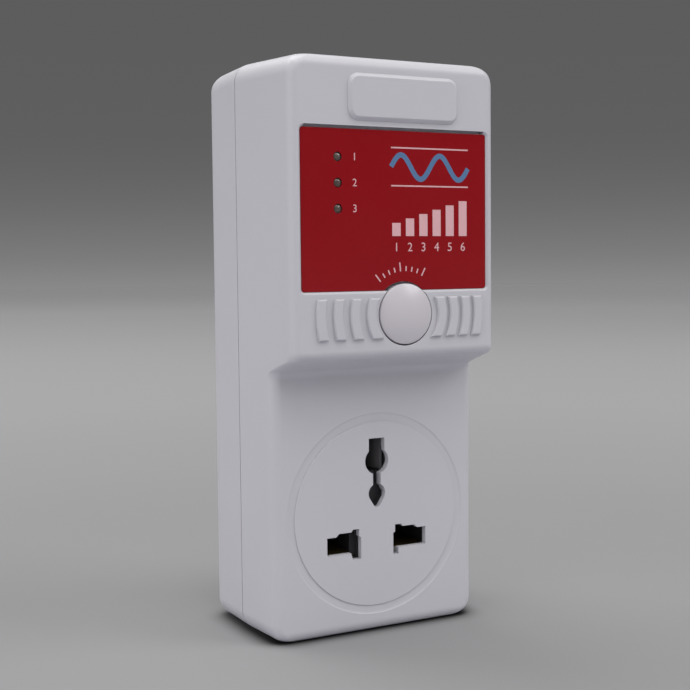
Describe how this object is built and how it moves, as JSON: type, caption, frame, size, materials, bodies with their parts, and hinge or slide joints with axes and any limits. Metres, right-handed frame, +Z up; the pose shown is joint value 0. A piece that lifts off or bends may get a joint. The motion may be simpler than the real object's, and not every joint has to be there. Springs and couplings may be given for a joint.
{
  "type": "appliance voltage protector",
  "caption": "Plug-through voltage protector for one appliance: a stepped case with a universal socket, a red label with lamps, a round bypass button and a rear three-pin plug.",
  "frame": {"origin": "middle of the whole unit in X and Y, button crown and plug pins included, on the plane of the base", "axes": "+Z up the case, the front with the label and socket looks towards -Y, the plug pins point along +Y"},
  "size_m": [0.06, 0.0716, 0.144],
  "materials": {
    "shell_white": "moulded, fine satin",
    "steel": "zinc plated",
    "label_red": "glossy printed sheet",
    "lamp_lens": "clear tinted resin",
    "guide_grey": "moulded",
    "button_white": "moulded, fine satin",
    "spring_steel": "drawn wire",
    "chip_black": "moulded resin",
    "plunger_red": "moulded",
    "carrier_grey": "moulded phenolic",
    "cover_grey": "moulded",
    "brass": "polished",
    "sleeve_black": "satin",
    "board_brown": "phenolic paper board",
    "base_blue": "moulded",
    "relay_blue": "moulded",
    "copper_wire": "enamelled copper",
    "relay_iron": "plated iron",
    "core_black": "varnished sheets",
    "can_blue": "heat-shrunk sleeve",
    "mains_yellow": "moulded box",
    "disc_blue": "dipped lacquer",
    "fuse_white": "ceramic",
    "ceramic_tan": "coated ceramic",
    "trimmer_blue": "moulded",
    "solder": "solder",
    "wire_brown": "insulated wire",
    "wire_blue": "insulated wire",
    "wire_green": "insulated wire"
  },
  "bodies": {
    "root": {"front_shell": "shell_white", "rear_shell": "shell_white", "case_screws": "steel", "label_plate": "label_red", "led_off": "lamp_lens", "led_wait": "lamp_lens", "led_on": "lamp_lens", "led_spacers": "guide_grey", "button_spring": "spring_steel", "button_guide": "guide_grey", "guide_screws": "steel", "bypass_switch": "chip_black", "contact_carrier": "carrier_grey", "carrier_cover": "cover_grey", "carrier_screws": "steel", "line_contact": "brass", "neutral_contact": "brass", "earth_contact": "brass", "line_pin": "brass", "neutral_pin": "brass", "earth_pin": "brass", "pin_sleeves": "sleeve_black", "pin_retainer": "cover_grey", "retainer_screws": "steel", "main_board": "board_brown", "board_screws": "steel", "board_terminals": "brass", "relay_base": "base_blue", "relay_cover": "relay_blue", "relay_coil": "copper_wire", "relay_core": "relay_iron", "relay_yoke": "relay_iron", "relay_contact": "brass", "transformer_core": "core_black", "transformer_bobbin": "cover_grey", "transformer_winding": "copper_wire", "filter_capacitor": "can_blue", "timing_capacitor": "can_blue", "mains_capacitor": "mains_yellow", "varistor": "disc_blue", "thermal_fuse": "fuse_white", "comparator_chip": "chip_black", "timer_chip": "chip_black", "chip_legs": "steel", "resistors": "ceramic_tan", "rectifier_diodes": "chip_black", "trimmer": "trimmer_blue", "relay_driver": "chip_black", "solder_joints": "solder", "line_in_wire": "wire_brown", "line_out_wire": "wire_brown", "neutral_in_wire": "wire_blue", "neutral_out_wire": "wire_blue", "earth_wire": "wire_green"},
    "button": {"bypass_button": "button_white", "switch_plunger": "plunger_red"},
    "armature": {"relay_armature": "relay_iron", "relay_blade": "brass"}
  },
  "joints": [
    {"name": "button_press", "type": "slide", "parent": "root", "child": "button", "axis": [0, 1, 0], "range_m": [0, 0.002], "stiffness_N_per_m": 400, "springref_m": -0.002, "deforming": ["button_spring"]},
    {"name": "relay_pull", "type": "hinge", "parent": "root", "child": "armature", "pos_m": [0.01615, -0.00975, 0.08335], "axis": [-1, 0, 0], "range_deg": [0, 5], "stiffness_Nm_per_rad": 0.002, "springref_deg": -11.46}
  ]
}
